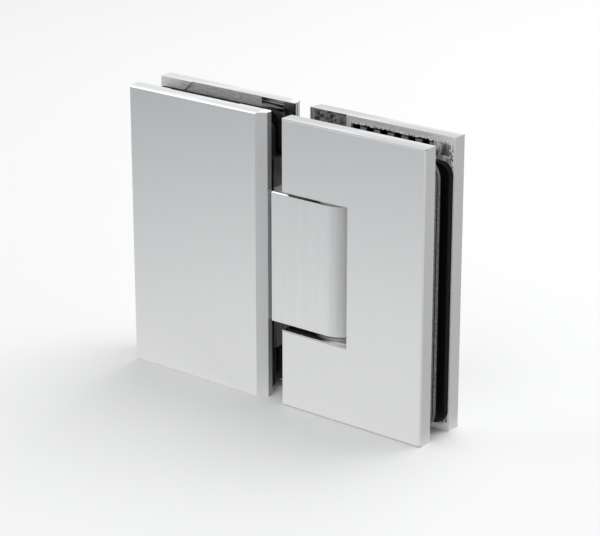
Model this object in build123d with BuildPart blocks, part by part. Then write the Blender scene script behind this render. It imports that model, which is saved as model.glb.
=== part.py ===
from build123d import *
import os

# Glass-to-glass shower door hinge, 180 degrees, swinging 90 degrees both ways.
# Millimetres. X runs along the width (fixed half left, door half right), the front
# faces look towards -Y, Z is up. The origin is under the middle of the hinge, at the
# level of the plates' lower edges.

# ---------------------------------------------------------------- driving sizes
# plates
height = 90.0
plate_thickness = 5.0
glass_gap = 9.8  # clear space between the front and the back plates
fixed_plate_width = 52.6
door_plate_width = 51.0
plate_end_gap = 6.8  # between the two front plates
fixed_back_end_setback = 1.7  # outer face of the fixed back plate, against the front one
fixed_back_end_slant = 2.8
door_back_end_lead = 1.0  # the door back plate starts this much further left
door_back_end_slant = 0.9
edge_bevel = 0.4
end_chamfer_width = 3.0  # full-height chamfer beside the knuckle
end_chamfer_depth = 2.2
end_back_chamfer = 1.0

# knuckle, pin and slot
knuckle_rise = 0.8  # knuckle centre above the middle of the plates
arm_height = 23.35  # door half above and below its slot
barrel_radius = 8.1
knuckle_chamfer = 0.3
pin_from_door_end = 15.1
pin_radius = 4.5
pin_in_carrier = 9.6
pin_end_chamfer = 0.6
pin_flat_depth = 0.7
pin_flat_to_bush = 0.5
slot_clearance = 0.7
shoulder_gap = 1.7  # knuckle shoulder to the end of the fixed plates
bush_outer_radius = 6.0
bush_share = 0.195  # length of each bush over the knuckle's height
running_clearance = 0.03
bore_relief = 0.2
washer_thickness = 1.0
washer_play = 0.1

# tongue between the fixed plates
tongue_length = 19.5
tongue_end_inset = 15.0  # above the plates' lower edges and below their upper ones
tongue_edge_chamfer = 0.8

# detent mechanism in the tongue
plunger_to_bush = 1.05
plunger_bore_radius = 3.5
plunger_clearance = 0.04
plunger_length = 12.0
plunger_nose_chamfer = 0.6
plunger_lift_play = 0.05
spring_screw_length = 8.0
spring_wire_radius = 0.6
spring_coil_radius = 2.6
spring_turns = 4.5

# pin carriers in the arms of the door half
carrier_height = 10.1
carrier_left_reach = 13.7
carrier_right_reach = 16.8
carrier_edge_chamfer = 0.5
grub_radius = 1.25
grub_length = 5.0
grub_from_slot = 1.9

# countersunk hexagon socket screws
block_screw_radius = 3.0
block_screw_head_radius = 6.0
block_screw_inset = 7.0  # from the tongue's ends
carrier_screw_radius = 2.5
carrier_screw_head_radius = 5.0
carrier_screw_from_slot = 6.2
carrier_screw_left = 9.0
carrier_screw_right = 12.0
screw_hole_clearance = 0.25
screw_head_sink = 0.2
screw_bite = 3.2  # depth of thread in the front plate
thread_end_space = 0.4
socket_share = 0.36  # hexagon socket radius over head radius
socket_depth = 2.4

# gaskets, all cut from one sheet
gasket_thickness = 1.8
gasket_side_inset = 0.5  # at the outer end of each plate
fixed_gasket_height_inset = 4.5  # the sheets' height under the plates'
fixed_gasket_corner = 3.0
fixed_gasket_gap_inset = 0.8  # at the end of the fixed plates by the knuckle
fixed_back_gasket_gap_inset = 2.8
fixed_gasket_lift = 0.6  # above the plates' lower edges
fixed_inner_gasket_lift = 2.1
door_gasket_bottom_inset = 1.8
door_gasket_top_inset = 4.4
door_back_gasket_bottom_inset = 2.4
door_back_gasket_top_inset = 7.4
door_gasket_gap_inset = 1.8
door_gasket_corner_share = 0.9  # of the arm over the carrier
gasket_notch_clearance = 0.8
gasket_edge_chamfer = 0.25

# relief cut into the inner faces of the plates
relief_height = 4.0
shallow_relief_depth = 0.45
shallow_relief_start = 12.7
shallow_relief_lead = 4.5
shallow_relief_end = 40.0
polished_relief_width = 13.6
polished_relief_depth = 0.3
polished_relief_height = 6.0
polished_relief_rim = 0.4  # at the plate's end
rib_pocket_start = 14.3
rib_pocket_height = 7.0
rib_pocket_rim = 1.8
rib_pocket_depth = 2.5
rib_crest_depth = 0.8  # rib crests below the inner face
rib_channel_height = 1.1  # between the rim and the ribs' ends
rib_count = 6
rib_pitch = 4.9
rib_width = 2.1
corner_pocket_width = 3.0
corner_pocket_height = 3.4
corner_pocket_depth = 1.2
corner_pocket_side_rim = 2.0
corner_pocket_end_rim = 2.6

# ---------------------------------------------------------------- places
total_width = fixed_plate_width + plate_end_gap + door_plate_width
left_x = -total_width / 2
right_x = total_width / 2
fixed_end_x = left_x + fixed_plate_width
door_end_x = right_x - door_plate_width
inner_y = glass_gap / 2
outer_y = inner_y + plate_thickness

pin_x = door_end_x + pin_from_door_end
slot_height = height - 2 * arm_height
knuckle_height = slot_height - 2 * (washer_thickness + washer_play)
knuckle_z = height / 2 + knuckle_rise
knuckle_bottom = knuckle_z - knuckle_height / 2
knuckle_top = knuckle_z + knuckle_height / 2
shoulder_x = fixed_end_x + shoulder_gap
slot_end_x = pin_x + barrel_radius + slot_clearance
slot_bottom = knuckle_z - slot_height / 2
slot_top = knuckle_z + slot_height / 2
bush_length = bush_share * knuckle_height
pin_length = slot_height + 2 * pin_in_carrier
pin_flat_height = knuckle_height - 2 * (bush_length + pin_flat_to_bush)

tongue_left = fixed_end_x - tongue_length
tongue_bottom = tongue_end_inset
tongue_top = height - tongue_end_inset
block_screw_x = fixed_end_x - tongue_length / 2
block_screw_places = [
    (block_screw_x, tongue_bottom + block_screw_inset),
    (block_screw_x, tongue_top - block_screw_inset),
]

plunger_heights = {
    "lower": knuckle_bottom + bush_length + plunger_to_bush + plunger_bore_radius,
    "upper": knuckle_top - bush_length - plunger_to_bush - plunger_bore_radius,
}
plunger_nose_x = pin_x - pin_radius - plunger_lift_play
plunger_tail_x = plunger_nose_x - plunger_length
spring_screw_end = tongue_left + spring_screw_length

carrier_left = pin_x - carrier_left_reach
carrier_right = pin_x + carrier_right_reach
carrier_bottoms = {"lower": slot_bottom - carrier_height, "upper": slot_top}
grub_heights = {"lower": slot_bottom - grub_from_slot, "upper": slot_top + grub_from_slot}
carrier_screw_places = [
    (pin_x + dx, z)
    for dx in (-carrier_screw_left, carrier_screw_right)
    for z in (slot_bottom - carrier_screw_from_slot, slot_top + carrier_screw_from_slot)
]

centred = (Align.CENTER, Align.CENTER, Align.MIN)


def facing_back(x, y, z):
    """Plane at a point, looking towards +Y, with +X along its own x."""
    return Plane(origin=(x, y, z), x_dir=(-1, 0, 0), z_dir=(0, 1, 0))


def cut_window(x_low, x_high, z_low, z_high, y_start, depth):
    """Cuts a rectangular pocket into the current part, from y_start towards +Y by depth."""
    with BuildSketch(Plane.XZ.offset(-y_start)) as window:
        with Locations(((x_low + x_high) / 2, (z_low + z_high) / 2)):
            Rectangle(x_high - x_low, z_high - z_low)
    extrude(window.sketch, amount=-depth, mode=Mode.SUBTRACT)


def cut_both_ends(x_low, x_high, rim, reach, side, depth):
    """Cuts the same pocket near the lower and the upper edge of a plate's inner face."""
    for z_low in (rim, height - rim - reach):
        cut_window(x_low, x_high, z_low, z_low + reach, side * inner_y, side * depth)


def cut_rib_pockets(side):
    """Cuts the ribbed pockets and the corner pockets of a door plate; side is -1 front, +1 back."""
    start = door_end_x + rib_pocket_start
    end = start + rib_count * rib_pitch
    cut_both_ends(start, end, rib_pocket_rim, rib_pocket_height, side, rib_crest_depth)
    cut_both_ends(start, end, rib_pocket_rim, rib_channel_height, side, rib_pocket_depth)
    for number in range(rib_count):
        x_low = start + number * rib_pitch
        x_high = x_low + rib_pitch - rib_width
        cut_both_ends(x_low, x_high, rib_pocket_rim, rib_pocket_height, side, rib_pocket_depth)
    x_high = right_x - corner_pocket_side_rim
    x_low = x_high - corner_pocket_width
    rim = corner_pocket_end_rim
    cut_both_ends(x_low, x_high, rim, corner_pocket_height, side, corner_pocket_depth)


def cut_shallow_relief(side):
    """Mills the shallow slant-ended relief along the top and bottom of a fixed plate."""
    start = left_x + shallow_relief_start
    end = left_x + shallow_relief_end
    for upper in (False, True):
        edge = height if upper else 0.0
        inward = -relief_height if upper else relief_height
        with BuildSketch(Plane.XZ.offset(-side * inner_y)) as relief:
            with BuildLine():
                Polyline(
                    (start, edge),
                    (end, edge),
                    (end, edge + inward),
                    (start - shallow_relief_lead, edge + inward),
                    close=True,
                )
            make_face()
        extrude(relief.sketch, amount=-side * shallow_relief_depth, mode=Mode.SUBTRACT)


def bevel_outer_face(part, side, skip_last=0):
    """Bevels the edges round a plate's outer face; skip_last leaves the rightmost edges."""
    face = part.faces().filter_by(Axis.Y).sort_by(Axis.Y)[0 if side < 0 else -1]
    edges = face.outer_wire().edges().sort_by(Axis.X)
    chamfer(edges[: len(edges) - skip_last], edge_bevel)


def drill_back_plate(places, radius, head_radius):
    """Countersinks a back plate for screws that come in from behind."""
    with Locations(*[facing_back(x, outer_y, z) for x, z in places]):
        CounterSinkHole(radius + screw_hole_clearance, head_radius, plate_thickness, 90)


def drill_front_plate(places, radius):
    """Taps a front plate from its inner face."""
    with Locations(*[facing_back(x, -inner_y, z) for x, z in places]):
        Hole(radius, depth=screw_bite + thread_end_space)


def write(part, name):
    """Labels a finished piece and writes it as its own file."""
    part.label = name
    export_step(part, f"parts/{name}.step")


os.makedirs("parts", exist_ok=True)

# ---------------------------------------------------------------- fixed half: plates
with BuildPart() as fixed_front_plate:
    with BuildSketch(Plane.XY):
        with BuildLine():
            Polyline(
                (left_x, -outer_y),
                (fixed_end_x - end_chamfer_width, -outer_y),
                (fixed_end_x, -outer_y + end_chamfer_depth),
                (fixed_end_x, -inner_y - end_back_chamfer),
                (fixed_end_x - end_back_chamfer, -inner_y),
                (left_x, -inner_y),
                close=True,
            )
        make_face()
    extrude(amount=height)
    bevel_outer_face(fixed_front_plate, -1, skip_last=1)
    cut_shallow_relief(-1)
    drill_front_plate(block_screw_places, block_screw_radius)
write(fixed_front_plate.part, "fixed_front_plate")

with BuildPart() as fixed_back_plate:
    back_outer_end = fixed_end_x - fixed_back_end_setback
    back_inner_end = back_outer_end + fixed_back_end_slant
    with BuildSketch(Plane.XY):
        with BuildLine():
            Polyline(
                (left_x, inner_y),
                (back_inner_end, inner_y),
                (back_outer_end, outer_y),
                (left_x, outer_y),
                close=True,
            )
        make_face()
    extrude(amount=height)
    bevel_outer_face(fixed_back_plate, 1, skip_last=1)
    cut_shallow_relief(1)
    relief_end = back_inner_end - polished_relief_rim
    relief_start = relief_end - polished_relief_width
    cut_both_ends(relief_start, relief_end, 0, polished_relief_height, 1, polished_relief_depth)
    drill_back_plate(block_screw_places, block_screw_radius, block_screw_head_radius)
write(fixed_back_plate.part, "fixed_back_plate")

# ---------------------------------------------------------------- pivot block
with BuildPart() as pivot_block:
    with BuildSketch(Plane.XY.offset(tongue_bottom)):
        with Locations((fixed_end_x - tongue_length / 2, 0)):
            Rectangle(tongue_length, glass_gap)
    extrude(amount=tongue_top - tongue_bottom)
    tongue_end_edges = edges().filter_by(Axis.Y).group_by(Axis.X)[0]
    chamfer(tongue_end_edges, tongue_edge_chamfer)
    with BuildSketch(Plane.XY.offset(knuckle_bottom)):
        with BuildLine():
            Polyline(
                (block_screw_x, inner_y),
                (shoulder_x, inner_y),
                (shoulder_x, barrel_radius),
                (pin_x, barrel_radius),
            )
            ThreePointArc(
                (pin_x, barrel_radius),
                (pin_x + barrel_radius, 0),
                (pin_x, -barrel_radius),
            )
            Polyline(
                (pin_x, -barrel_radius),
                (shoulder_x, -barrel_radius),
                (shoulder_x, -inner_y),
                (block_screw_x, -inner_y),
                (block_screw_x, inner_y),
            )
        make_face()
    extrude(amount=knuckle_height)
    rims = edges().filter_by_position(Axis.X, shoulder_x + 1, right_x)
    rims = rims.filter_by_position(Axis.Z, knuckle_top, knuckle_top) + rims.filter_by_position(
        Axis.Z, knuckle_bottom, knuckle_bottom
    )
    chamfer(rims, knuckle_chamfer)
    with Locations((pin_x, 0, knuckle_bottom)):
        Cylinder(pin_radius + bore_relief, knuckle_height, align=centred, mode=Mode.SUBTRACT)
        Cylinder(bush_outer_radius, bush_length, align=centred, mode=Mode.SUBTRACT)
    with Locations((pin_x, 0, knuckle_top - bush_length)):
        Cylinder(bush_outer_radius, bush_length, align=centred, mode=Mode.SUBTRACT)
    for z in plunger_heights.values():
        with Locations(Plane(origin=(tongue_left, 0, z), z_dir=(-1, 0, 0))):
            Hole(plunger_bore_radius, depth=pin_x - tongue_left)
    with Locations(*[facing_back(x, inner_y, z) for x, z in block_screw_places]):
        Hole(block_screw_radius + screw_hole_clearance, depth=glass_gap)
write(pivot_block.part, "pivot_block")

# ---------------------------------------------------------------- bushes and washers
for side, bush_base, washer_base in (
    ("lower", knuckle_bottom, knuckle_bottom - washer_thickness),
    ("upper", knuckle_top - bush_length, knuckle_top),
):
    with BuildPart() as pin_bush:
        with Locations((pin_x, 0, bush_base)):
            Cylinder(bush_outer_radius, bush_length, align=centred)
            Cylinder(
                pin_radius + running_clearance, bush_length, align=centred, mode=Mode.SUBTRACT
            )
    write(pin_bush.part, f"{side}_pin_bush")

    with BuildPart() as thrust_washer:
        with Locations((pin_x, 0, washer_base)):
            Cylinder(barrel_radius, washer_thickness, align=centred)
            Cylinder(
                pin_radius + bore_relief, washer_thickness, align=centred, mode=Mode.SUBTRACT
            )
    write(thrust_washer.part, f"{side}_thrust_washer")

# ---------------------------------------------------------------- detent mechanism
for side, z in plunger_heights.items():
    with BuildPart() as detent_plunger:
        with Locations(Plane(origin=(plunger_tail_x, 0, z), z_dir=(1, 0, 0))):
            Cylinder(plunger_bore_radius - plunger_clearance, plunger_length, align=centred)
        ends = edges().filter_by(GeomType.CIRCLE)
        chamfer(ends, plunger_nose_chamfer)
    write(detent_plunger.part, f"{side}_detent_plunger")

    spring_length = plunger_tail_x - spring_screw_end
    coil_height = spring_length - 2 * spring_wire_radius
    coil_start = (spring_screw_end + spring_wire_radius, 0, z)
    with BuildPart() as detent_spring:
        with BuildLine() as coil:
            Helix(
                coil_height / spring_turns,
                coil_height,
                spring_coil_radius,
                center=coil_start,
                direction=(1, 0, 0),
            )
        with BuildSketch(coil.line ^ 0):
            Circle(spring_wire_radius)
        sweep(is_frenet=True)
    write(detent_spring.part, f"{side}_detent_spring")

with BuildPart() as spring_screws:
    starts = [
        Plane(origin=(spring_screw_end, 0, z), z_dir=(-1, 0, 0)) for z in plunger_heights.values()
    ]
    with Locations(*starts):
        Cylinder(plunger_bore_radius, spring_screw_length, align=centred)
    for z in plunger_heights.values():
        with BuildSketch(Plane(origin=(tongue_left, 0, z), z_dir=(-1, 0, 0))):
            RegularPolygon(plunger_bore_radius / 2, 6)
        extrude(amount=-spring_screw_length / 2, mode=Mode.SUBTRACT)
write(spring_screws.part, "spring_screws")

# ---------------------------------------------------------------- door half: plates
with BuildPart() as door_front_plate:
    with BuildSketch(Plane.XY):
        with Locations(((door_end_x + right_x) / 2, -(inner_y + outer_y) / 2)):
            Rectangle(door_plate_width, plate_thickness)
    extrude(amount=height)
    cut_window(door_end_x, slot_end_x, slot_bottom, slot_top, -outer_y, plate_thickness)
    bevel_outer_face(door_front_plate, -1)
    cut_rib_pockets(-1)
    drill_front_plate(carrier_screw_places, carrier_screw_radius)
write(door_front_plate.part, "door_front_plate")

with BuildPart() as door_back_plate:
    inner_end = door_end_x - door_back_end_lead
    with BuildSketch(Plane.XY):
        with BuildLine():
            Polyline(
                (inner_end, inner_y),
                (right_x, inner_y),
                (right_x, outer_y),
                (inner_end + door_back_end_slant, outer_y),
                close=True,
            )
        make_face()
    extrude(amount=height)
    cut_window(inner_end, slot_end_x, slot_bottom, slot_top, inner_y, plate_thickness)
    bevel_outer_face(door_back_plate, 1)
    cut_rib_pockets(1)
    relief_end = inner_end + polished_relief_width
    cut_both_ends(inner_end, relief_end, 0, polished_relief_height, 1, polished_relief_depth)
    drill_back_plate(carrier_screw_places, carrier_screw_radius, carrier_screw_head_radius)
write(door_back_plate.part, "door_back_plate")

# ---------------------------------------------------------------- pin and its carriers
with BuildPart() as pivot_pin:
    end_length = (pin_length - pin_flat_height) / 2
    with BuildSketch(Plane.XY.offset(knuckle_z - pin_length / 2)):
        with Locations((pin_x, 0)):
            Circle(pin_radius)
    extrude(amount=end_length)
    with BuildSketch(Plane.XY.offset(knuckle_z - pin_flat_height / 2)):
        with Locations((pin_x, 0)):
            Circle(pin_radius)
            Rectangle(
                2 * (pin_radius - pin_flat_depth),
                2 * (pin_radius - pin_flat_depth),
                mode=Mode.INTERSECT,
            )
    extrude(amount=pin_flat_height)
    with BuildSketch(Plane.XY.offset(knuckle_z + pin_flat_height / 2)):
        with Locations((pin_x, 0)):
            Circle(pin_radius)
    extrude(amount=end_length)
    rings = edges().filter_by(GeomType.CIRCLE).sort_by(Axis.Z)
    chamfer([rings[0], rings[-1]], pin_end_chamfer)
write(pivot_pin.part, "pivot_pin")

for side, base in carrier_bottoms.items():
    with BuildPart() as pin_carrier:
        with BuildSketch(Plane.XY.offset(base)):
            with Locations(((carrier_left + carrier_right) / 2, 0)):
                Rectangle(carrier_right - carrier_left, glass_gap)
        extrude(amount=carrier_height)
        outer_edges = edges().filter_by(Axis.Y)
        chamfer(outer_edges, carrier_edge_chamfer)
        with Locations((pin_x, 0, base)):
            Cylinder(pin_radius, carrier_height, align=centred, mode=Mode.SUBTRACT)
        with Locations(*[facing_back(x, inner_y, z) for x, z in carrier_screw_places]):
            Hole(carrier_screw_radius + screw_hole_clearance, depth=glass_gap)
        grub_mouth = Plane(origin=(carrier_right, 0, grub_heights[side]), z_dir=(1, 0, 0))
        with Locations(grub_mouth):
            Hole(grub_radius, depth=carrier_right - pin_x)
    write(pin_carrier.part, f"{side}_pin_carrier")

with BuildPart() as pin_grub_screws:
    tips = [Plane(origin=(pin_x + pin_radius, 0, z), z_dir=(1, 0, 0)) for z in grub_heights.values()]
    with Locations(*tips):
        Cylinder(grub_radius, grub_length, align=centred)
    for tip in tips:
        with BuildSketch(tip.offset(grub_length)):
            RegularPolygon(grub_radius / 2, 6)
        extrude(amount=-grub_length / 2, mode=Mode.SUBTRACT)
write(pin_grub_screws.part, "pin_grub_screws")


# ---------------------------------------------------------------- screws
def countersunk_screws(places, radius, head_radius):
    """Hexagon socket countersunk screws, from the back face into the front plate."""
    head_y = outer_y - screw_head_sink
    rim_radius = head_radius - 2 * screw_head_sink
    tip_y = -inner_y - screw_bite
    with BuildPart() as screws:
        for x, z in places:
            with BuildSketch(Plane.XY.offset(z)):
                with BuildLine():
                    Polyline(
                        (x, tip_y),
                        (x + radius - screw_head_sink, tip_y),
                        (x + radius, tip_y + screw_head_sink),
                        (x + radius, outer_y - head_radius + radius),
                        (x + rim_radius, head_y - screw_head_sink),
                        (x + rim_radius, head_y),
                        (x, head_y),
                        close=True,
                    )
                make_face()
            revolve(axis=Axis((x, 0, z), (0, 1, 0)))
            with BuildSketch(facing_back(x, head_y, z)):
                RegularPolygon(head_radius * socket_share, 6)
            extrude(amount=-socket_depth, mode=Mode.SUBTRACT)
    return screws.part


block_screws = countersunk_screws(block_screw_places, block_screw_radius, block_screw_head_radius)
write(block_screws, "block_screws")
carrier_screws = countersunk_screws(
    carrier_screw_places, carrier_screw_radius, carrier_screw_head_radius
)
write(carrier_screws, "carrier_screws")


# ---------------------------------------------------------------- gaskets
def gasket(x_low, x_high, z_low, z_high, corner, notch, y_far):
    """C-shaped rubber sheet from y_far towards -Y; notch is the metal's (x, x, z, z) it clears."""
    notch_low, notch_high, notch_bottom, notch_top = notch
    with BuildPart() as sheet:
        with BuildSketch(Plane.XZ.offset(-y_far)):
            with Locations(((x_low + x_high) / 2, (z_low + z_high) / 2)):
                RectangleRounded(x_high - x_low, z_high - z_low, corner)
            with Locations(((notch_low + notch_high) / 2, (notch_bottom + notch_top) / 2)):
                Rectangle(
                    notch_high - notch_low, notch_top - notch_bottom, mode=Mode.SUBTRACT
                )
        extrude(amount=gasket_thickness)
        outer_faces = faces().filter_by(Axis.Y).sort_by(Axis.Y)
        chamfer(outer_faces[0].outer_wire().edges(), gasket_edge_chamfer)
    return sheet.part


fixed_notch = (
    tongue_left - gasket_notch_clearance,
    fixed_end_x,
    tongue_bottom - gasket_notch_clearance,
    tongue_top + gasket_notch_clearance,
)
for name, gap_inset, lift, y_far in (
    ("front", fixed_gasket_gap_inset, fixed_gasket_lift, gasket_thickness - inner_y),
    ("back_outer", fixed_back_gasket_gap_inset, fixed_gasket_lift, inner_y),
    (
        "back_inner",
        fixed_back_gasket_gap_inset,
        fixed_inner_gasket_lift,
        inner_y - gasket_thickness,
    ),
):
    sheet = gasket(
        left_x + gasket_side_inset,
        fixed_end_x - gap_inset,
        lift,
        lift + height - fixed_gasket_height_inset,
        fixed_gasket_corner,
        fixed_notch,
        y_far,
    )
    write(sheet, f"fixed_{name}_gasket")

door_notch_top = slot_top + carrier_height + gasket_notch_clearance
door_notch = (
    door_end_x,
    carrier_right + gasket_notch_clearance,
    slot_bottom - carrier_height - gasket_notch_clearance,
    door_notch_top,
)
front_insets = (door_gasket_bottom_inset, door_gasket_top_inset)
back_insets = (door_back_gasket_bottom_inset, door_back_gasket_top_inset)
for name, insets, y_far in (
    ("front_outer", front_insets, gasket_thickness - inner_y),
    ("front_inner", front_insets, 2 * gasket_thickness - inner_y),
    ("back", back_insets, inner_y),
):
    sheet_top = height - insets[1]
    sheet = gasket(
        door_end_x + door_gasket_gap_inset,
        right_x - gasket_side_inset,
        insets[0],
        sheet_top,
        door_gasket_corner_share * (sheet_top - door_notch_top),
        door_notch,
        y_far,
    )
    write(sheet, f"door_{name}_gasket")
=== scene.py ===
"""Looks of a satin glass-to-glass shower door hinge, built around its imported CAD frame."""

import math

import bmesh
import bpy
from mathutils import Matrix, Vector


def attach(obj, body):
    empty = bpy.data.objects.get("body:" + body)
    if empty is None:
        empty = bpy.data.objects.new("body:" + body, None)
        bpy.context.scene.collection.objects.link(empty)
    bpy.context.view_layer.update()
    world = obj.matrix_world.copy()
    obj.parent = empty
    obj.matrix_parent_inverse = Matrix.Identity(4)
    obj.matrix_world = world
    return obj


bl_info = {
    "name": "Glass door hinge looks",
    "version": (1, 0, 0),
    "blender": (4, 5, 0),
    "location": "View3D > Sidebar > Hinge",
    "description": "Finishes, small worked details and studio for a satin glass door hinge",
    "category": "Object",
}

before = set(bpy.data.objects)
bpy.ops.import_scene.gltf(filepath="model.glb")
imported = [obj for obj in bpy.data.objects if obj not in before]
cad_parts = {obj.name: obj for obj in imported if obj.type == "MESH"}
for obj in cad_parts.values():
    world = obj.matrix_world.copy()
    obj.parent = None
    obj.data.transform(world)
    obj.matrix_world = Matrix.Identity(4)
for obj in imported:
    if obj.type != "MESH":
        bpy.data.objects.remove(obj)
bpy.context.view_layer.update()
MM = 0.001

SCREWS = ("block_screws", "carrier_screws", "spring_screws", "pin_grub_screws")
BUSHES = ("lower_pin_bush", "upper_pin_bush")
WASHERS = ("lower_thrust_washer", "upper_thrust_washer")
CARRIERS = ("lower_pin_carrier", "upper_pin_carrier")
SPRINGS = ("lower_detent_spring", "upper_detent_spring")
GROUND_STEEL = ("pivot_pin", "lower_detent_plunger", "upper_detent_plunger")
# Gasket sheets whose cut edges get painted light, and sheets whose cut edges get painted shade: lit
# and shaded copies of one rubber.
SHEETS_WITH_PAINTED_LIT_EDGES = ("door_front_outer_gasket", "door_front_inner_gasket")
SHEETS_WITH_PAINTED_SHADED_EDGES = (
    "door_back_gasket",
    "fixed_front_gasket",
    "fixed_back_outer_gasket",
    "fixed_back_inner_gasket",
)

# Places on the hinge in millimetres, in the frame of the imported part. "depth" is the
# distance from the middle plane between the plates, "end" the height above or below
# the middle of the plates.
MID_HEIGHT = 45.0
INNER_FACE = 4.9
OUTER_FACE = 9.9
PLATE_END = 45.0
FIXED_LEFT = -55.2
FIXED_END = -2.6
CHAMFER_START = -5.6
DOOR_END = 4.2
DOOR_RIGHT = 55.2
PIN_X = 19.3
SLOT_RIGHT = 28.1
SLOT_HEIGHTS = (24.15, 67.45)
KNUCKLE_HEIGHTS = (25.25, 66.35)
FIXED_RELIEF = ((-47.0, -15.5), (41.0, 45.0))
FIXED_POLISHED = ((-15.5, -1.9), (39.0, 45.0))
DOOR_POLISHED = ((3.2, 16.8), (39.0, 45.0))
RIB_POCKET_X = (18.5, 47.9)
RIB_CHANNEL_END = 43.2
CORNER_POCKET_RIGHT = 53.2
SHEET_MIDDLES = (-4.0, -2.2, 2.2, 4.0)
SHEET_HALF = 0.62

# Borders of the finishes, in the same millimetres.
BEYOND = 99.0  # past every edge of the hinge
BEVEL_ENDS = (PLATE_END - 0.38, PLATE_END - 0.02)
BEVEL_DEPTHS = (9.0, 9.88)
SILL_HEIGHTS = (SLOT_HEIGHTS[0] - 0.38, SLOT_HEIGHTS[0] - 0.02)
SILL_X = (0.0, SLOT_RIGHT + 0.3)
TOP_ENDS = (PLATE_END - 0.03, BEYOND)
CHAMFER_X = (CHAMFER_START, 0.0)
CHAMFER_DEPTHS = (5.0, OUTER_FACE - 0.02)
END_FACE_X = (FIXED_END - 0.05, 0.0)
INNER_DEPTHS = (0.0, INNER_FACE + 0.06)
POCKET_DEPTHS = (0.0, 8.5)
POCKET_ENDS = (35.9, 44.9)
FIXED_POCKET_X = (FIXED_LEFT + 1.0, CHAMFER_START - 1.0)
DOOR_POCKET_X = (DOOR_END + 0.6, DOOR_RIGHT - 0.6)
RELIEF_DEPTHS = (0.0, 6.0)
POLISHED_DEPTHS = (0.0, 5.3)
RIGHT_END_STREAK_X = (53.3, 54.5)
RIGHT_END_STREAK_ENDS = (10.0, 42.6)
RIGHT_END_STREAK_DEPTHS = (0.0, 5.2)
CORNER_X = (48.1, CORNER_POCKET_RIGHT)
CORNER_ENDS = (35.5, 42.8)
CORNER_DEPTHS = (0.0, 7.0)
SLOT_WALL_X = (0.0, SLOT_RIGHT + 0.05)
SLOT_WALL_HEIGHTS = (SLOT_HEIGHTS[0] - 0.05, SLOT_HEIGHTS[1] + 0.05)
SLOT_WALL_DEPTHS = (0.0, OUTER_FACE - 0.42)
# Painted light: the slot's walls turn lighter beyond the pin.
SLOT_PAINTED_LIGHT_X = (PIN_X - 1.0, PIN_X + 3.0)
TONGUE_X = (-60.0, FIXED_END + 0.03)
TONGUE_DEPTHS = (0.0, INNER_FACE + 0.03)
KNUCKLE_FOOT = (KNUCKLE_HEIGHTS[0] - 1.0, KNUCKLE_HEIGHTS[0] + 0.05)
BARREL_X = (PIN_X + 2.0, BEYOND)

# Satin finish. A shade multiplies its colour as painted shade, and a contrast is how far
# the brush lines depart from it either way.
PLATE_CONTRAST = 0.02
BLOCK_CONTRAST = 0.05
FINE_LINE_SHARE = 0.65
BROAD_LINE_RATIO = 5.0
ANISOTROPY = 0.5
# Painted shade: darker door bevels and slot sill, dimming their highlight.
BEVEL_PAINTED_SHADE = 0.70
BEVEL_ROUGHNESS = 0.8
# Painted shade: darker tops of the door plates.
TOP_PAINTED_SHADE = 0.86
CHAMFER_ROUGHNESS = 0.74
# Painted shade: the fixed plates' end faces darkened as in the gap's shadow, less beside the
# knuckle.
END_SHADE = 0.40
KNUCKLE_END_SHADE = 0.75
# Painted shade: the barrel's colour darkened where it turns away from the light.
BARREL_SHADE = 0.86
BARREL_ROUGHNESS = 0.48
BARREL_BLEND = 2.0

# Unpolished casting inside the plates.
CAST_SCALE = 1400.0
CAST_COLOURS = ((0.80, 0.78, 0.78), (1.0, 0.98, 0.98))
# Painted shade: the casting darkens to near black with depth below the inner face, in its pockets
# and rib slots.
CAST_PAINTED_POCKET_SHADE = 0.02
PAINTED_POCKET_SHADE_DEPTHS = (INNER_FACE + 0.1, INNER_FACE + 1.6)
CAST_ROUGHNESS = 0.5
CAST_METALLIC = 0.1
POLISHED_ROUGHNESS = 0.25
# Painted shade: the slot's walls near black round the knuckle, lightening beyond the pin as painted
# light.
SLOT_WALL_PAINTED_SHADE_GREYS = (0.03, 0.80)
SLOT_WALL_ROUGHNESS = 0.6

# Streaks: stretch along x, y and z, scale, the ends of their ramp and its two greys.
RIGHT_END_STREAKS = ((1.0, 1.0, 0.5), 2600.0, (0.45, 0.55), (0.04, 1.0))
# Painted shade and glints: dark and light streaks standing for the webs in the door plates' corner
# pockets.
CORNER_PAINTED_SHADE_AND_GLINTS = ((1.0, 1.0, 0.6), 420.0, (0.40, 0.62), (0.14, 0.85))
# Painted reflection: the next two looks draw the polished parts inside the plates in dark and light
# streaks, as the dark surroundings they mirror.
DOOR_POLISHED_PAINTED_REFLECTION = ((1.0, 1.0, 1.6), 650.0, (0.36, 0.70), (0.006, 0.42))
FIXED_POLISHED_PAINTED_REFLECTION = ((0.06, 1.0, 1.0), 1500.0, (0.46, 0.60), (0.012, 0.60))
RELIEF_STREAKS = ((0.25, 1.0, 1.0), 1500.0, (0.3, 0.7), (0.36, 0.95))
# Painted shade: near-black streaks on the tongue between the plates and on the knuckle's lower end.
TONGUE_PAINTED_SHADE = ((1.0, 1.0, 0.04), 1500.0, (0.35, 0.65), (0.03, 0.16))

# Ends of the ramps between the two colours of a grain, as shares of the noise.
SOFT_RAMP = (0.3, 0.7)
STEEP_RAMP = (0.35, 0.65)

# Heights of the bumps, in metres.
BRUSH_BUMP = 0.000002
GRAIN_BUMP = 0.000004
RUBBER_BUMP = 0.00001

# Rubber sheets.
RUBBER_SCALE = 1800.0
RUBBER_ROUGHNESS = 0.42
CUT_ROUGHNESS = 0.8
RUBBER_SPECULAR = 0.12

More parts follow.
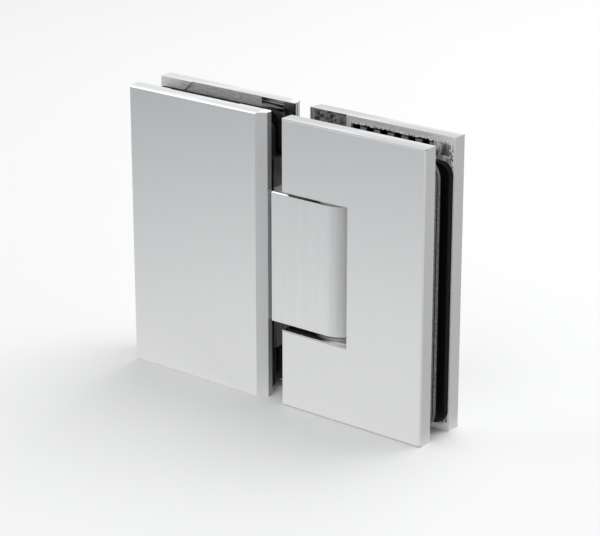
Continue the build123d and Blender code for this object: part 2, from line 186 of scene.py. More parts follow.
# Turned parts: material, nodes, colour, roughness and contrast of the grain.
GRAIN_SCALE = 2500.0
BRASS_ROUGHNESS = 0.3
BRASS_CONTRAST = 0.08
STEELS = (
    ("hinge_washer_steel", WASHERS, (0.30, 0.30, 0.30), 0.4, 0.06),
    ("hinge_ground_steel", GROUND_STEEL, (0.60, 0.60, 0.61), 0.22, 0.05),
    ("hinge_milled_steel", CARRIERS, (0.14, 0.14, 0.14), 0.45, 0.1),
    ("hinge_screw_steel", SCREWS, (0.66, 0.66, 0.67), 0.26, 0.06),
    ("hinge_spring_steel", SPRINGS, (0.35, 0.35, 0.36), 0.34, 0.1),
)

# Casting edges along the rib pockets.
EDGE_SCALE = 2200.0
EDGE_COLOURS = ((0.45, 0.44, 0.44), (0.92, 0.91, 0.90))
EDGE_RAMP = (0.35, 0.6)
EDGE_ROUGHNESSES = (0.35, 0.6)
EDGE_METALLIC = 0.3
EDGE_THICKNESS = 0.10 * MM
EDGE_CELL = 0.35 * MM
EDGE_FROM_CHANNEL = 0.2
EDGE_FREE_SHARE = 0.9  # of the width, for both the free part and its raggedness
EDGE_FACE_SHARE = 0.6  # of the thickness, for the raggedness of the face
EDGE_SEED = 11

# Studio, in metres.
FLOOR_SIZE = 8.0
FLOOR_ROUGHNESS = 0.8
FLOOR_SPECULAR = 0.1
FLOOR_MOTTLE = 0.005
FLOOR_MOTTLE_SCALE = 3.0
# Painted reflection: for glossy rays the floor glows, bright in a pool by the hinge, grey beyond
# and to the right, and white in a sector that puts highlights on the plates' right front bevels.
PATCH_CORE_SHARE = 0.15  # of the patch's radius, evenly bright
SIDE_BORDER = (0.052, 0.062)  # between the floor that the faces and the right ends mirror
HINGE_CORNER = (0.0552, -0.0099)  # right front corner, from which the sector opens
SECTOR_RISE = (math.radians(22.0), math.radians(34.0))
SECTOR_FALL = (math.radians(42.0), math.radians(54.0))
LIGHT_TARGET = (0.0, 0.0, 0.04)
KEY_LIGHT_PLACE = (0.13, 0.60, 1.15)
KEY_LIGHT_SIZE = 1.2
EDGE_LIGHT_PLACE = (-1.05, -0.57, 1.4)
EDGE_LIGHT_SIZE = 0.6
FRONT_LIGHT_PLACE = (0.1, -1.0, 1.3)
FRONT_LIGHT_SIZE = 0.9
WORLD_COLOUR = (0.98, 0.99, 1.0, 1.0)
CLIP_START = 0.01
CLIP_END = 20.0


# ---------------------------------------------------------------- settings
class HINGE_settings(bpy.types.PropertyGroup):
    """Sizes and colours of the finishes, the worked details and the studio"""

    satin_colour: bpy.props.FloatVectorProperty(
        name="Satin colour",
        description="Mean colour of the satin plates and the pivot block",
        subtype="COLOR",
        size=3,
        min=0.0,
        max=1.0,
        default=(0.765, 0.77, 0.775),
    )
    satin_roughness: bpy.props.FloatProperty(
        name="Satin roughness",
        description="Mean roughness of the brushed faces",
        default=0.34,
        min=0.05,
        max=1.0,
    )
    brush_pitch: bpy.props.FloatProperty(
        name="Brush line width",
        description="Width of one brush line",
        default=0.00022,
        min=0.00005,
        max=0.005,
        unit="LENGTH",
        precision=5,
    )
    brush_length: bpy.props.FloatProperty(
        name="Brush line length",
        description="Length of one brush line",
        default=0.009,
        min=0.001,
        max=0.5,
        unit="LENGTH",
    )
    rubber_colour: bpy.props.FloatVectorProperty(
        name="Rubber colour",
        description="Colour of the gasket sheets' faces",
        subtype="COLOR",
        size=3,
        min=0.0,
        max=1.0,
        default=(0.006, 0.006, 0.007),
    )
    # Painted light: the lighter colour of the cut edges on the door's front sheets, as if lit.
    rubber_painted_lit_edge_colour: bpy.props.FloatVectorProperty(
        name="Cut edge colour",
        description="Colour of the gasket sheets' cut edges",
        subtype="COLOR",
        size=3,
        min=0.0,
        max=1.0,
        default=(0.13, 0.135, 0.13),
    )
    brass_colour: bpy.props.FloatVectorProperty(
        name="Brass colour",
        description="Colour of the bearing bushes",
        subtype="COLOR",
        size=3,
        min=0.0,
        max=1.0,
        default=(0.70, 0.50, 0.22),
    )
    flash_width: bpy.props.FloatProperty(
        name="Casting edge width",
        description="Width of the ragged edge left by the casting along the rib pockets",
        default=0.00036,
        min=0.0001,
        max=0.005,
        unit="LENGTH",
        precision=5,
    )
    floor_colour: bpy.props.FloatVectorProperty(
        name="Floor colour",
        description="Colour of the studio floor",
        subtype="COLOR",
        size=3,
        min=0.0,
        max=1.0,
        default=(0.88, 0.88, 0.88),
    )
    # Painted reflection: floor_near, floor_far, patch_centre and patch_radius grade the glow that
    # the metal mirrors in place of the floor.
    floor_near: bpy.props.FloatVectorProperty(
        name="Mirrored floor, near",
        description="Brightness of the floor that the metal mirrors beside its feet",
        subtype="COLOR",
        size=3,
        min=0.0,
        max=1.0,
        default=(0.93, 0.93, 0.93),
    )
    floor_far: bpy.props.FloatVectorProperty(
        name="Mirrored floor, far",
        description="Brightness of the floor that the metal mirrors farther away",
        subtype="COLOR",
        size=3,
        min=0.0,
        max=1.0,
        default=(0.46, 0.48, 0.49),
    )
    patch_centre: bpy.props.FloatVectorProperty(
        name="Patch centre",
        description="Middle of the bright patch of the mirrored floor",
        subtype="TRANSLATION",
        unit="LENGTH",
        size=3,
        default=(0.0, -0.02, 0.0),
    )
    patch_radius: bpy.props.FloatProperty(
        name="Patch radius",
        description="Radius at which the bright patch has faded out",
        default=0.46,
        min=0.01,
        max=2.0,
        unit="LENGTH",
    )
    key_power: bpy.props.FloatProperty(
        name="Key light",
        description="Power of the soft light overhead, in watts",
        default=12.6,
        min=0.0,
        max=500.0,
    )
    edge_power: bpy.props.FloatProperty(
        name="Edge light",
        description="Power of the soft light at the upper left, in watts",
        default=1.6,
        min=0.0,
        max=500.0,
    )
    front_power: bpy.props.FloatProperty(
        name="Front light",
        description="Power of the soft light in front, in watts",
        default=5.2,
        min=0.0,
        max=500.0,
    )
    world_strength: bpy.props.FloatProperty(
        name="Ambient light",
        description="Strength of the light from all round",
        default=0.40,
        min=0.0,
        max=2.0,
    )
    mirrored_strength: bpy.props.FloatProperty(
        name="Mirrored surroundings",
        description="Brightness of the surroundings above the floor that the metal mirrors",
        default=0.93,
        min=0.0,
        max=2.0,
    )
    # Painted reflection: the glow that the plates' right ends mirror.
    floor_side: bpy.props.FloatVectorProperty(
        name="Mirrored floor, right",
        description="Brightness of the floor that the right ends of the plates mirror",
        subtype="COLOR",
        size=3,
        min=0.0,
        max=1.0,
        default=(0.60, 0.60, 0.60),
    )
    backdrop_strength: bpy.props.FloatProperty(
        name="Backdrop",
        description="Brightness of the backdrop as the camera sees it",
        default=0.93,
        min=0.0,
        max=1.0,
    )
    camera_position: bpy.props.FloatVectorProperty(
        name="Camera position",
        description="Where the camera stands",
        subtype="TRANSLATION",
        unit="LENGTH",
        size=3,
        default=(0.37878, -0.47873, 0.26273),
    )
    camera_heading: bpy.props.FloatProperty(
        name="Camera heading",
        description="Angle of the view to the left of straight back",
        subtype="ANGLE",
        unit="ROTATION",
        default=math.radians(38.095),
    )
    camera_drop: bpy.props.FloatProperty(
        name="Camera drop",
        description="Angle of the view below the horizon",
        subtype="ANGLE",
        unit="ROTATION",
        default=math.radians(18.439),
    )
    camera_lens: bpy.props.FloatProperty(
        name="Focal length",
        description="Focal length in millimetres on a 36 mm sensor",
        default=129.25,
        min=20.0,
        max=300.0,
    )
    camera_shift: bpy.props.FloatProperty(
        name="Vertical shift",
        description="Upward shift of the picture, as a share of its width",
        default=-0.1,
        min=-0.5,
        max=0.5,
    )


def settings():
    """The add-on's settings of this scene."""
    return bpy.context.scene.hinge_settings


# ---------------------------------------------------------------- node helpers
def new_material(name):
    """A material with a Principled BSDF alone; returns the material, its tree and the shader."""
    material = bpy.data.materials.new(name)
    material.use_nodes = True
    tree = material.node_tree
    tree.nodes.clear()
    output = tree.nodes.new("ShaderNodeOutputMaterial")
    shader = tree.nodes.new("ShaderNodeBsdfPrincipled")
    tree.links.new(shader.outputs["BSDF"], output.inputs["Surface"])
    return material, tree, shader


def scaled_coordinates(tree, scale=(1.0, 1.0, 1.0)):
    """Object coordinates, stretched by scale."""
    coordinates = tree.nodes.new("ShaderNodeTexCoord")
    mapping = tree.nodes.new("ShaderNodeMapping")
    mapping.inputs["Scale"].default_value = scale
    tree.links.new(coordinates.outputs["Object"], mapping.inputs["Vector"])
    return mapping.outputs["Vector"]


def math_node(tree, operation, first, second=None):
    """A math node on sockets or plain numbers; returns its value."""
    node = tree.nodes.new("ShaderNodeMath")
    node.operation = operation
    for index, value in enumerate((first, second)):
        if isinstance(value, (int, float)):
            node.inputs[index].default_value = value
        elif value is not None:
            tree.links.new(value, node.inputs[index])
    return node.outputs["Value"]


def noise(tree, vector, scale, detail=2.0, roughness=0.5):
    """A noise texture on a vector; returns its factor."""
    texture = tree.nodes.new("ShaderNodeTexNoise")
    texture.inputs["Scale"].default_value = scale
    texture.inputs["Detail"].default_value = detail
    texture.inputs["Roughness"].default_value = roughness
    tree.links.new(vector, texture.inputs["Vector"])
    return texture.outputs["Fac"]


def spread(tree, value, low, high, from_low=SOFT_RAMP[0], from_high=SOFT_RAMP[1]):
    """Maps a value from one range to another, clamped."""
    node = tree.nodes.new("ShaderNodeMapRange")
    node.inputs["From Min"].default_value = from_low
    node.inputs["From Max"].default_value = from_high
    node.inputs["To Min"].default_value = low
    node.inputs["To Max"].default_value = high
    tree.links.new(value, node.inputs["Value"])
    return node.outputs["Result"]


def two_colours(tree, value, dark, light, low=SOFT_RAMP[0], high=SOFT_RAMP[1]):
    """A ramp between two colours."""
    ramp = tree.nodes.new("ShaderNodeValToRGB")
    ramp.color_ramp.elements[0].position = low
    ramp.color_ramp.elements[0].color = (*dark, 1.0)
    ramp.color_ramp.elements[1].position = high
    ramp.color_ramp.elements[1].color = (*light, 1.0)
    tree.links.new(value, ramp.inputs["Fac"])
    return ramp.outputs["Color"]


def mix_colours(tree, mask, first, second):
    """The first colour where the mask is 0, the second where it is 1."""
    node = tree.nodes.new("ShaderNodeMix")
    node.data_type = "RGBA"
    tree.links.new(mask, node.inputs["Factor"])
    for name, value in (("A", first), ("B", second)):
        if isinstance(value, tuple):
            node.inputs[name].default_value = (*value, 1.0)
        else:
            tree.links.new(value, node.inputs[name])
    return node.outputs["Result"]


def mix_values(tree, mask, first, second):
    """The first value where the mask is 0, the second where it is 1."""
    node = tree.nodes.new("ShaderNodeMix")
    node.data_type = "FLOAT"
    tree.links.new(mask, node.inputs["Factor"])
    for name, value in (("A", first), ("B", second)):
        if isinstance(value, (int, float)):
            node.inputs[name].default_value = value
        else:
            tree.links.new(value, node.inputs[name])
    return node.outputs["Result"]


def shaded(tree, colour, value):
    """A colour multiplied by a value."""
    node = tree.nodes.new("ShaderNodeVectorMath")
    node.operation = "SCALE"
    tree.links.new(colour, node.inputs[0])
    tree.links.new(value, node.inputs["Scale"])
    return node.outputs["Vector"]


def bump(tree, shader, height, distance):
    """Bumps a shader by a height."""
    node = tree.nodes.new("ShaderNodeBump")
    node.inputs["Distance"].default_value = distance
    node.inputs["Strength"].default_value = 1.0
    tree.links.new(height, node.inputs["Height"])
    tree.links.new(node.outputs["Normal"], shader.inputs["Normal"])


def connect(tree, shader, colour, rough):
    """Feeds a shader's colour and roughness."""
    tree.links.new(colour, shader.inputs["Base Color"])
    tree.links.new(rough, shader.inputs["Roughness"])


def hinge_places(tree):
    """Sockets of the place in millimetres: x, y, z, depth (from the middle plane) and end."""
    millimetres = scaled_coordinates(tree, (1.0 / MM, 1.0 / MM, 1.0 / MM))
    split = tree.nodes.new("ShaderNodeSeparateXYZ")
    tree.links.new(millimetres, split.inputs["Vector"])
    x, y, z = split.outputs["X"], split.outputs["Y"], split.outputs["Z"]
    from_middle = math_node(tree, "SUBTRACT", z, MID_HEIGHT)
    return {
        "x": x,
        "y": y,
        "z": z,
        "depth": math_node(tree, "ABSOLUTE", y),
        "end": math_node(tree, "ABSOLUTE", from_middle),
    }


def box_mask(tree, places, soft=0.03, **ranges):
    """1 inside the given ranges of places, 0 outside, with a soft border in millimetres."""
    mask = None
    for key, (low, high) in ranges.items():
        above = spread(tree, places[key], 0.0, 1.0, low - soft, low + soft)
        below = spread(tree, places[key], 1.0, 0.0, high - soft, high + soft)
        inside = math_node(tree, "MULTIPLY", above, below)
        mask = inside if mask is None else math_node(tree, "MULTIPLY", mask, inside)
    return mask


def either(tree, first, second):
    """The larger of two masks."""
    return math_node(tree, "MAXIMUM", first, second)


def tint(colour, factor):
    """A colour made darker or lighter."""
    return tuple(min(1.0, part * factor) for part in colour)


def grey(value):
    """A plain grey."""
    return (value, value, value)


# ---------------------------------------------------------------- finishes
def brush_lines(tree):
    """Brush lines along the height, fine ones over broad ones."""
    prefs = settings()
    across, along = 1.0 / prefs.brush_pitch, 1.0 / prefs.brush_length
    fine = (across, across, along)
    broad = tuple(part / BROAD_LINE_RATIO for part in fine)
    lines = noise(tree, scaled_coordinates(tree, fine), 1.0, roughness=0.6)
    bands = noise(tree, scaled_coordinates(tree, broad), 1.0)
    fine_share = math_node(tree, "MULTIPLY", lines, FINE_LINE_SHARE)
    broad_share = math_node(tree, "MULTIPLY", bands, 1.0 - FINE_LINE_SHARE)
    return math_node(tree, "ADD", fine_share, broad_share)


def satin_finish(tree, shader, contrast):
    """Sets up brushed satin chrome; returns the sockets of its colour and roughness."""
    prefs = settings()
    lines = brush_lines(tree)
    dark, light = (tint(prefs.satin_colour, factor) for factor in (1 - contrast, 1 + contrast))
    colour = two_colours(tree, lines, dark, light, *STEEP_RAMP)
    rough = spread(tree, lines, prefs.satin_roughness * 0.9, prefs.satin_roughness * 1.1)
    shader.inputs["Anisotropic"].default_value = ANISOTROPY
    tangent = tree.nodes.new("ShaderNodeTangent")
    tangent.direction_type = "RADIAL"
    tangent.axis = "Z"
    tree.links.new(tangent.outputs["Tangent"], shader.inputs["Tangent"])
    bump(tree, shader, lines, BRUSH_BUMP)
    return colour, rough


def streaks(tree, look):
    """Two-tone streaks of one of the looks above."""
    stretch, scale, ramp, (dark, light) = look
    marks = noise(tree, scaled_coordinates(tree, stretch), scale, detail=4.0, roughness=0.6)
    return two_colours(tree, marks, grey(dark), grey(light), *ramp)


def cast_finish(tree, places):
    """Light unpolished casting with a coarse mottle, and painted shade that darkens it in its
    pockets.
    """
    mottle = noise(tree, scaled_coordinates(tree), CAST_SCALE, detail=4.0, roughness=0.65)
    colour = two_colours(tree, mottle, *CAST_COLOURS, *STEEP_RAMP)
    painted_pocket_shade = spread(tree, places["depth"], 1.0, CAST_PAINTED_POCKET_SHADE, *PAINTED_POCKET_SHADE_DEPTHS)
    return shaded(tree, colour, painted_pocket_shade)


def fixed_outside(tree, places, colour, rough):
    """Dulls the fixed plates' chamfers and darkens their end faces beside the door with painted
    shade.
    """
    chamfer = box_mask(tree, places, x=CHAMFER_X, depth=CHAMFER_DEPTHS)
    end_face = box_mask(tree, places, x=END_FACE_X, soft=0.02)
    by_knuckle = box_mask(tree, places, z=KNUCKLE_HEIGHTS)
    end_shade = mix_values(tree, by_knuckle, END_SHADE, KNUCKLE_END_SHADE)
    shade = mix_values(tree, end_face, 1.0, end_shade)
    return shaded(tree, colour, shade), mix_values(tree, chamfer, rough, CHAMFER_ROUGHNESS)


def door_outside(tree, places, colour, rough):
    """Dulls the door plates' bevels, the slot's sill among them, and darkens them and the plates'
    tops with painted shade.
    """
    bevel = box_mask(tree, places, end=BEVEL_ENDS, depth=BEVEL_DEPTHS)
    sill = box_mask(tree, places, z=SILL_HEIGHTS, depth=BEVEL_DEPTHS, x=SILL_X)
    bevel = either(tree, bevel, sill)
    plate_top = box_mask(tree, places, end=TOP_ENDS, soft=0.01)
    bevel_shade = mix_values(tree, bevel, 1.0, BEVEL_PAINTED_SHADE)
    top_shade = mix_values(tree, plate_top, 1.0, TOP_PAINTED_SHADE)
    shade = math_node(tree, "MULTIPLY", bevel_shade, top_shade)
    return shaded(tree, colour, shade), mix_values(tree, bevel, rough, BEVEL_ROUGHNESS)


def fixed_casting(tree, places, cast):
    """Wears the relief of the fixed plates."""
    relief_x, relief_ends = FIXED_RELIEF
    relief = box_mask(tree, places, x=relief_x, end=relief_ends, depth=RELIEF_DEPTHS, soft=1.2)
    return mix_colours(tree, relief, cast, streaks(tree, RELIEF_STREAKS))


def door_casting(tree, places, cast):
    """Streaks the door plates' casting near its right end, and paints shade and glints in the
    corner pockets.
    """
    right_end_marks = box_mask(tree, places, x=RIGHT_END_STREAK_X, end=RIGHT_END_STREAK_ENDS, depth=RIGHT_END_STREAK_DEPTHS)
    cast = mix_colours(tree, right_end_marks, cast, streaks(tree, RIGHT_END_STREAKS))
    corner = box_mask(tree, places, x=CORNER_X, end=CORNER_ENDS, depth=CORNER_DEPTHS, soft=0.2)
    return mix_colours(tree, corner, cast, streaks(tree, CORNER_PAINTED_SHADE_AND_GLINTS))


def slot_walls(tree, places, colour, rough):
    """Paints shade, near black, on the walls of the slot round the knuckle, and painted light on
    them beyond the pin.
    """
    walls = box_mask(tree, places, depth=SLOT_WALL_DEPTHS, x=SLOT_WALL_X, z=SLOT_WALL_HEIGHTS)
    painted_light_beyond_pin = spread(tree, places["x"], 0.0, 1.0, *SLOT_PAINTED_LIGHT_X)
    dark, light = (grey(value) for value in SLOT_WALL_PAINTED_SHADE_GREYS)
    painted_wall_shade = two_colours(tree, painted_light_beyond_pin, dark, light, 0.0, 1.0)
    colour = mix_colours(tree, walls, colour, painted_wall_shade)
    return colour, mix_values(tree, walls, rough, SLOT_WALL_ROUGHNESS)


def plate_material(name, is_door):
    """Satin outside, unpolished casting with its reliefs inside."""
    material, tree, shader = new_material(name)
    places = hinge_places(tree)
    colour, rough = satin_finish(tree, shader, PLATE_CONTRAST)
    cast = cast_finish(tree, places)
    if is_door:
        colour, rough = door_outside(tree, places, colour, rough)
        cast = door_casting(tree, places, cast)
        pocket_x, polished, polish = DOOR_POCKET_X, DOOR_POLISHED, DOOR_POLISHED_PAINTED_REFLECTION
    else:
        colour, rough = fixed_outside(tree, places, colour, rough)
        cast = fixed_casting(tree, places, cast)
        pocket_x, polished, polish = FIXED_POCKET_X, FIXED_POLISHED, FIXED_POLISHED_PAINTED_REFLECTION
    polished_x, polished_ends = polished
    # The polished parts get a painted reflection in their colour: dark and light streaks, as of
    # dark surroundings.
    bright = box_mask(tree, places, x=polished_x, end=polished_ends, depth=POLISHED_DEPTHS)
    cast = mix_colours(tree, bright, cast, streaks(tree, polish))
    inner = box_mask(tree, places, depth=INNER_DEPTHS)
    pockets = box_mask(tree, places, depth=POCKET_DEPTHS, end=POCKET_ENDS, x=pocket_x)
    inner = either(tree, inner, pockets)
    colour = mix_colours(tree, inner, colour, cast)
    rough = mix_values(tree, inner, rough, CAST_ROUGHNESS)
    rough = mix_values(tree, bright, rough, POLISHED_ROUGHNESS)
    if is_door:
        colour, rough = slot_walls(tree, places, colour, rough)
    connect(tree, shader, colour, rough)
    metal = mix_values(tree, inner, 1.0, CAST_METALLIC)
    tree.links.new(metal, shader.inputs["Metallic"])
    return material


def block_material(name):
    """Satin knuckle; its lower end and the tongue between the plates get painted shade."""
    material, tree, shader = new_material(name)
    places = hinge_places(tree)
    colour, rough = satin_finish(tree, shader, BLOCK_CONTRAST)
    tongue = box_mask(tree, places, x=TONGUE_X, depth=TONGUE_DEPTHS)
    foot = box_mask(tree, places, z=KNUCKLE_FOOT)
    tongue_ends = box_mask(tree, places, x=TONGUE_X, z=(KNUCKLE_HEIGHTS[1], BEYOND))
    # Painted shade: the tongue, the strip above the knuckle's top and the knuckle's lower end drawn
    # near black.
    dark = either(tree, tongue, either(tree, foot, tongue_ends))
    barrel = box_mask(tree, places, x=BARREL_X, soft=BARREL_BLEND)
    # Painted shade on the barrel, besides its duller roughness.
    colour = shaded(tree, colour, mix_values(tree, barrel, 1.0, BARREL_SHADE))
    colour = mix_colours(tree, dark, colour, streaks(tree, TONGUE_PAINTED_SHADE))
    connect(tree, shader, colour, mix_values(tree, barrel, rough, BARREL_ROUGHNESS))
    shader.inputs["Metallic"].default_value = 1.0
    return material


def turned_metal(name, colour, roughness, contrast):
    """Machined metal with a fine even grain."""
    material, tree, shader = new_material(name)
    grains = noise(tree, scaled_coordinates(tree), GRAIN_SCALE, detail=3.0, roughness=0.6)
    colours = two_colours(tree, grains, tint(colour, 1 - contrast), tint(colour, 1 + contrast))
    connect(tree, shader, colours, spread(tree, grains, roughness * 0.8, roughness * 1.2))
    shader.inputs["Metallic"].default_value = 1.0
    bump(tree, shader, grains, GRAIN_BUMP)
    return material


def sheet_rubber(name, edge_colour):
    """Black sheet rubber with granular cut edges, drawn in edge_colour: painted light on one copy,
    painted shade on the other.
    """
    prefs = settings()
    material, tree, shader = new_material(name)
    places = hinge_places(tree)
    mottle = noise(tree, scaled_coordinates(tree), RUBBER_SCALE, detail=3.0, roughness=0.7)
    face = two_colours(tree, mottle, tint(prefs.rubber_colour, 0.8), tint(prefs.rubber_colour, 1.4))
    edge = two_colours(tree, mottle, tint(edge_colour, 0.5), tint(edge_colour, 1.6), *STEEP_RAMP)
    cut = None
    for middle in SHEET_MIDDLES:
        band = box_mask(tree, places, y=(middle - SHEET_HALF, middle + SHEET_HALF), soft=0.08)
        cut = band if cut is None else either(tree, cut, band)
    rough = mix_values(tree, cut, RUBBER_ROUGHNESS, CUT_ROUGHNESS)
    connect(tree, shader, mix_colours(tree, cut, face, edge), rough)
    shader.inputs["Specular IOR Level"].default_value = RUBBER_SPECULAR
    bump(tree, shader, mottle, RUBBER_BUMP)
    return material


def give(names, material):
    """Gives CAD nodes a material."""
    for name in names:
        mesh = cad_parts[name].data
        mesh.materials.clear()
        mesh.materials.append(material)


# ---------------------------------------------------------------- modelled pieces
def start_piece(add, name, **place):
    """Adds a primitive with nothing else selected and names it."""
    bpy.ops.object.select_all(action="DESELECT")
    add(**place)
    piece = bpy.context.object
    piece.name = name
    piece.data.name = name
    return piece


def settle(piece):
    """Puts the piece's place, turn and scale into its mesh."""
    bpy.ops.object.select_all(action="DESELECT")
    piece.select_set(True)
    bpy.context.view_layer.objects.active = piece
    bpy.ops.object.transform_apply(location=True, rotation=True, scale=True)


def select_points(piece, keep):
    """In edit mode, selects the vertices that keep() holds for."""
    bpy.ops.mesh.select_mode(type="VERT")
    bpy.ops.mesh.select_all(action="DESELECT")
    mesh = bmesh.from_edit_mesh(piece.data)
    for vertex in mesh.verts:
        vertex.select = keep(vertex.co)
    mesh.select_flush(True)
    bmesh.update_edit_mesh(piece.data)


def ragged_edge(name, x_range, z_edge, y_face, inward, width, seed):
    """Thin ragged strip on a plate's inner face, along one edge of a pocket."""
    x_low, x_high = x_range
    cells = int((x_high - x_low) / EDGE_CELL)
    centre = ((x_low + x_high) / 2, y_face, z_edge + inward * width / 2)
    piece = start_piece(
        bpy.ops.mesh.primitive_grid_add,
        name,
        x_subdivisions=cells,
        y_subdivisions=3,
        size=1.0,
        location=centre,
        rotation=(math.radians(90.0), 0.0, 0.0),
    )
    piece.scale = (x_high - x_low, width, 1.0)
    settle(piece)
    toward = -1.0 if y_face > 0 else 1.0
    bpy.ops.object.mode_set(mode="EDIT")
    bpy.ops.mesh.select_all(action="SELECT")
    bpy.ops.mesh.extrude_region_move(
        TRANSFORM_OT_translate={"value": (0.0, toward * EDGE_THICKNESS, 0.0)}
    )
    free = z_edge + inward * width * EDGE_FREE_SHARE
    select_points(piece, lambda co: (co.z - free) * inward > 0)
    shake = width * EDGE_FREE_SHARE
    bpy.ops.transform.vertex_random(offset=shake, uniform=1.0, normal=0.0, seed=seed)
    select_points(piece, lambda co: abs(co.y - y_face) > EDGE_THICKNESS / 2)
    shake = EDGE_THICKNESS * EDGE_FACE_SHARE
    bpy.ops.transform.vertex_random(offset=shake, uniform=1.0, normal=0.0, seed=seed + 1)
    bpy.ops.mesh.select_all(action="SELECT")
    bpy.ops.mesh.normals_make_consistent(inside=False)
    bpy.ops.object.mode_set(mode="OBJECT")
    return piece


# ---------------------------------------------------------------- operators
class HINGE_OT_satin(bpy.types.Operator):
    """Brushed satin finish of the clamp plates and the pivot block"""

    bl_idname = "hinge.satin"
    bl_label = "Satin finish"

    def execute(self, context):
        give(("fixed_front_plate", "fixed_back_plate"), plate_material("hinge_fixed_plate", False))
        give(("door_front_plate", "door_back_plate"), plate_material("hinge_door_plate", True))
        give(("pivot_block",), block_material("hinge_pivot_block"))
        return {"FINISHED"}


class HINGE_OT_gaskets(bpy.types.Operator):
    """Black rubber of the gasket sheets, with cut edges painted lit on the door's front sheets and
    painted shaded on the rest
    """

    bl_idname = "hinge.gaskets"
    bl_label = "Gasket rubber"

    def execute(self, context):
        prefs = settings()
        # Painted light and shade: one rubber with lit cut edges on the door's front sheets and
        # shaded cut edges on the rest.
        give(SHEETS_WITH_PAINTED_LIT_EDGES, sheet_rubber("hinge_rubber_painted_lit_edges", prefs.rubber_painted_lit_edge_colour))
        give(SHEETS_WITH_PAINTED_SHADED_EDGES, sheet_rubber("hinge_rubber_painted_shaded_edges", tint(prefs.rubber_colour, 1.3)))
        return {"FINISHED"}


class HINGE_OT_turned_parts(bpy.types.Operator):
    """Finishes of the pin, bushes, washers, carriers, screws and springs"""

    bl_idname = "hinge.turned_parts"
    bl_label = "Turned parts"

    def execute(self, context):
        brass = settings().brass_colour
        give(BUSHES, turned_metal("hinge_bush_brass", brass, BRASS_ROUGHNESS, BRASS_CONTRAST))
        for name, nodes, colour, roughness, contrast in STEELS:
            give(nodes, turned_metal(name, colour, roughness, contrast))
        return {"FINISHED"}


class HINGE_OT_casting_edges(bpy.types.Operator):
    """Ragged edges that the casting left along the rib pockets"""

    bl_idname = "hinge.casting_edges"
    bl_label = "Casting edges"

    def execute(self, context):
        prefs = settings()
        material, tree, shader = new_material("hinge_casting_edge")
        grains = noise(tree, scaled_coordinates(tree), EDGE_SCALE, detail=3.0, roughness=0.6)
        colours = two_colours(tree, grains, *EDGE_COLOURS, *EDGE_RAMP)
        connect(tree, shader, colours, spread(tree, grains, *EDGE_ROUGHNESSES))
        shader.inputs["Metallic"].default_value = EDGE_METALLIC
        x_range = (RIB_POCKET_X[0] * MM, CORNER_POCKET_RIGHT * MM)
        for number, (side, upper) in enumerate(((1, 1), (1, -1), (-1, 1), (-1, -1))):
            z_edge = (MID_HEIGHT + upper * (RIB_CHANNEL_END + EDGE_FROM_CHANNEL)) * MM
            piece = ragged_edge(
                f"casting_edge_{number + 1}",
                x_range,
                z_edge,
                side * INNER_FACE * MM,
                -upper,
                prefs.flash_width,
                EDGE_SEED + number,
            )
            piece.data.materials.append(material)
            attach(piece, "door_half")
        return {"FINISHED"}


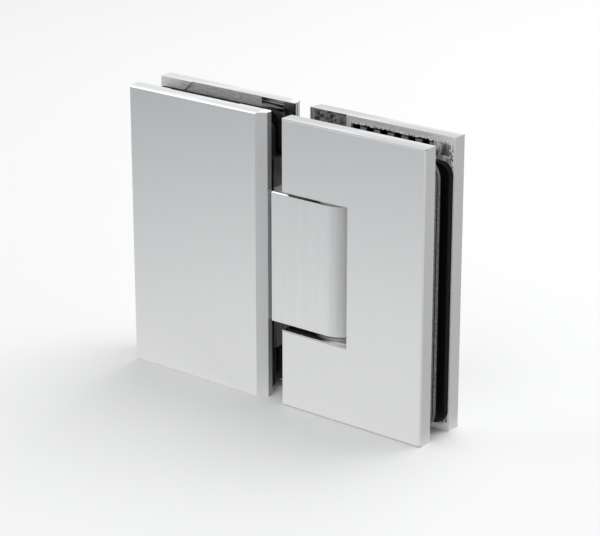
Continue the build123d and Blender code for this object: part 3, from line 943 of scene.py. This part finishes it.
class HINGE_OT_studio(bpy.types.Operator):
    """Pale floor, soft studio light and the camera"""

    bl_idname = "hinge.studio"
    bl_label = "Studio"

    def execute(self, context):
        prefs = settings()
        bpy.ops.object.select_all(action="DESELECT")
        bpy.ops.mesh.primitive_plane_add(size=FLOOR_SIZE, location=(0.0, 0.0, 0.0))
        floor = context.object
        floor.name = "studio_floor"
        floor.data.materials.append(self.floor_material(prefs))
        self.add_light("studio_key_light", KEY_LIGHT_PLACE, KEY_LIGHT_SIZE, prefs.key_power)
        self.add_light("studio_edge_light", EDGE_LIGHT_PLACE, EDGE_LIGHT_SIZE, prefs.edge_power)
        self.add_light("studio_front_light", FRONT_LIGHT_PLACE, FRONT_LIGHT_SIZE, prefs.front_power)
        self.add_world(prefs)
        camera_data = bpy.data.cameras.new("studio_camera")
        camera_data.lens = prefs.camera_lens
        camera_data.shift_y = prefs.camera_shift
        camera_data.clip_start = CLIP_START
        camera_data.clip_end = CLIP_END
        camera = bpy.data.objects.new("studio_camera", camera_data)
        context.scene.collection.objects.link(camera)
        camera.location = prefs.camera_position
        heading, drop = prefs.camera_heading, prefs.camera_drop
        look = Vector(
            (
                -math.sin(heading) * math.cos(drop),
                math.cos(heading) * math.cos(drop),
                -math.sin(drop),
            )
        )
        camera.rotation_euler = look.to_track_quat("-Z", "Y").to_euler()
        context.scene.camera = camera
        context.scene.view_settings.view_transform = "Standard"
        return {"FINISHED"}

    @staticmethod
    def add_light(name, place, size, power):
        """A square area light that looks at the hinge."""
        data = bpy.data.lights.new(name, "AREA")
        data.shape = "SQUARE"
        data.size = size
        data.energy = power
        light = bpy.data.objects.new(name, data)
        bpy.context.scene.collection.objects.link(light)
        light.location = place
        look = Vector(LIGHT_TARGET) - Vector(place)
        light.rotation_euler = look.to_track_quat("-Z", "Y").to_euler()

    @staticmethod
    def painted_floor_reflection(tree, vector, prefs):
        """Painted reflection: the glow that the metal mirrors in place of the floor, brighter near
        the hinge and white in a sector.
        """
        distance = tree.nodes.new("ShaderNodeVectorMath")
        distance.operation = "DISTANCE"
        distance.inputs[1].default_value = prefs.patch_centre
        tree.links.new(vector, distance.inputs[0])
        core = prefs.patch_radius * PATCH_CORE_SHARE
        nearness = spread(tree, distance.outputs["Value"], 1.0, 0.0, core, prefs.patch_radius)
        mirrored = two_colours(tree, nearness, prefs.floor_far, prefs.floor_near, 0.0, 1.0)
        split = tree.nodes.new("ShaderNodeSeparateXYZ")
        tree.links.new(vector, split.inputs["Vector"])
        beside = spread(tree, split.outputs["X"], 1.0, 0.0, *SIDE_BORDER)
        mirrored = mix_colours(tree, beside, tuple(prefs.floor_side), mirrored)
        corner_x, corner_y = HINGE_CORNER
        right = math_node(tree, "SUBTRACT", split.outputs["X"], corner_x)
        front = math_node(tree, "SUBTRACT", corner_y, split.outputs["Y"])
        bearing = math_node(tree, "ARCTAN2", front, right)
        rising = spread(tree, bearing, 0.0, 1.0, *SECTOR_RISE)
        falling = spread(tree, bearing, 1.0, 0.0, *SECTOR_FALL)
        sector = math_node(tree, "MULTIPLY", rising, falling)
        return mix_colours(tree, sector, mirrored, grey(1.0))

    def floor_material(self, prefs):
        """Evenly pale floor to the eye; to the metal, a graded glow, a painted reflection, in place
        of the lit floor.
        """
        material, tree, shader = new_material("studio_floor")
        vector = scaled_coordinates(tree)
        mirrored = self.painted_floor_reflection(tree, vector, prefs)
        cloud = noise(tree, vector, FLOOR_MOTTLE_SCALE)
        shades = (1 - FLOOR_MOTTLE, 1 + FLOOR_MOTTLE)
        dark, light = (tint(prefs.floor_colour, factor) for factor in shades)
        seen = two_colours(tree, cloud, dark, light)
        tree.links.new(seen, shader.inputs["Base Color"])
        shader.inputs["Roughness"].default_value = FLOOR_ROUGHNESS
        shader.inputs["Specular IOR Level"].default_value = FLOOR_SPECULAR
        # Painted reflection: glossy rays see this glow in place of the lit floor.
        glow = tree.nodes.new("ShaderNodeEmission")
        tree.links.new(mirrored, glow.inputs["Color"])
        path = tree.nodes.new("ShaderNodeLightPath")
        choice = tree.nodes.new("ShaderNodeMixShader")
        tree.links.new(path.outputs["Is Glossy Ray"], choice.inputs["Fac"])
        tree.links.new(shader.outputs["BSDF"], choice.inputs[1])
        tree.links.new(glow.outputs["Emission"], choice.inputs[2])
        output = tree.nodes["Material Output"]
        tree.links.new(choice.outputs["Shader"], output.inputs["Surface"])
        return material

    @staticmethod
    def add_world(prefs):
        """Soft light from all round, with a pale backdrop behind the floor's end."""
        world = bpy.data.worlds.new("studio_world")
        bpy.context.scene.world = world
        world.use_nodes = True
        tree = world.node_tree
        background = tree.nodes["Background"]
        path = tree.nodes.new("ShaderNodeLightPath")
        strength = mix_values(
            tree, path.outputs["Is Glossy Ray"], prefs.world_strength, prefs.mirrored_strength
        )
        strength = mix_values(
            tree, path.outputs["Is Camera Ray"], strength, prefs.backdrop_strength
        )
        tree.links.new(strength, background.inputs["Strength"])
        background.inputs["Color"].default_value = WORLD_COLOUR


class HINGE_PT_panel(bpy.types.Panel):
    """Buttons and settings of the hinge's looks"""

    bl_idname = "HINGE_PT_panel"
    bl_label = "Glass door hinge"
    bl_space_type = "VIEW_3D"
    bl_region_type = "UI"
    bl_category = "Hinge"

    def draw(self, context):
        layout = self.layout
        for operator in OPERATORS:
            layout.operator(operator.bl_idname)
        prefs = context.scene.hinge_settings
        for key in prefs.__annotations__:
            layout.prop(prefs, key)


OPERATORS = (
    HINGE_OT_satin,
    HINGE_OT_gaskets,
    HINGE_OT_turned_parts,
    HINGE_OT_casting_edges,
    HINGE_OT_studio,
)
CLASSES = (HINGE_settings, *OPERATORS, HINGE_PT_panel)


def register():
    """Registers the add-on."""
    for item in CLASSES:
        bpy.utils.register_class(item)
    bpy.types.Scene.hinge_settings = bpy.props.PointerProperty(type=HINGE_settings)


def unregister():
    """Removes the add-on."""
    del bpy.types.Scene.hinge_settings
    for item in reversed(CLASSES):
        bpy.utils.unregister_class(item)


def main():
    """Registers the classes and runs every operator."""
    register()
    bpy.ops.hinge.satin()
    bpy.ops.hinge.gaskets()
    bpy.ops.hinge.turned_parts()
    bpy.ops.hinge.casting_edges()
    bpy.ops.hinge.studio()


if __name__ == "__main__":
    main()
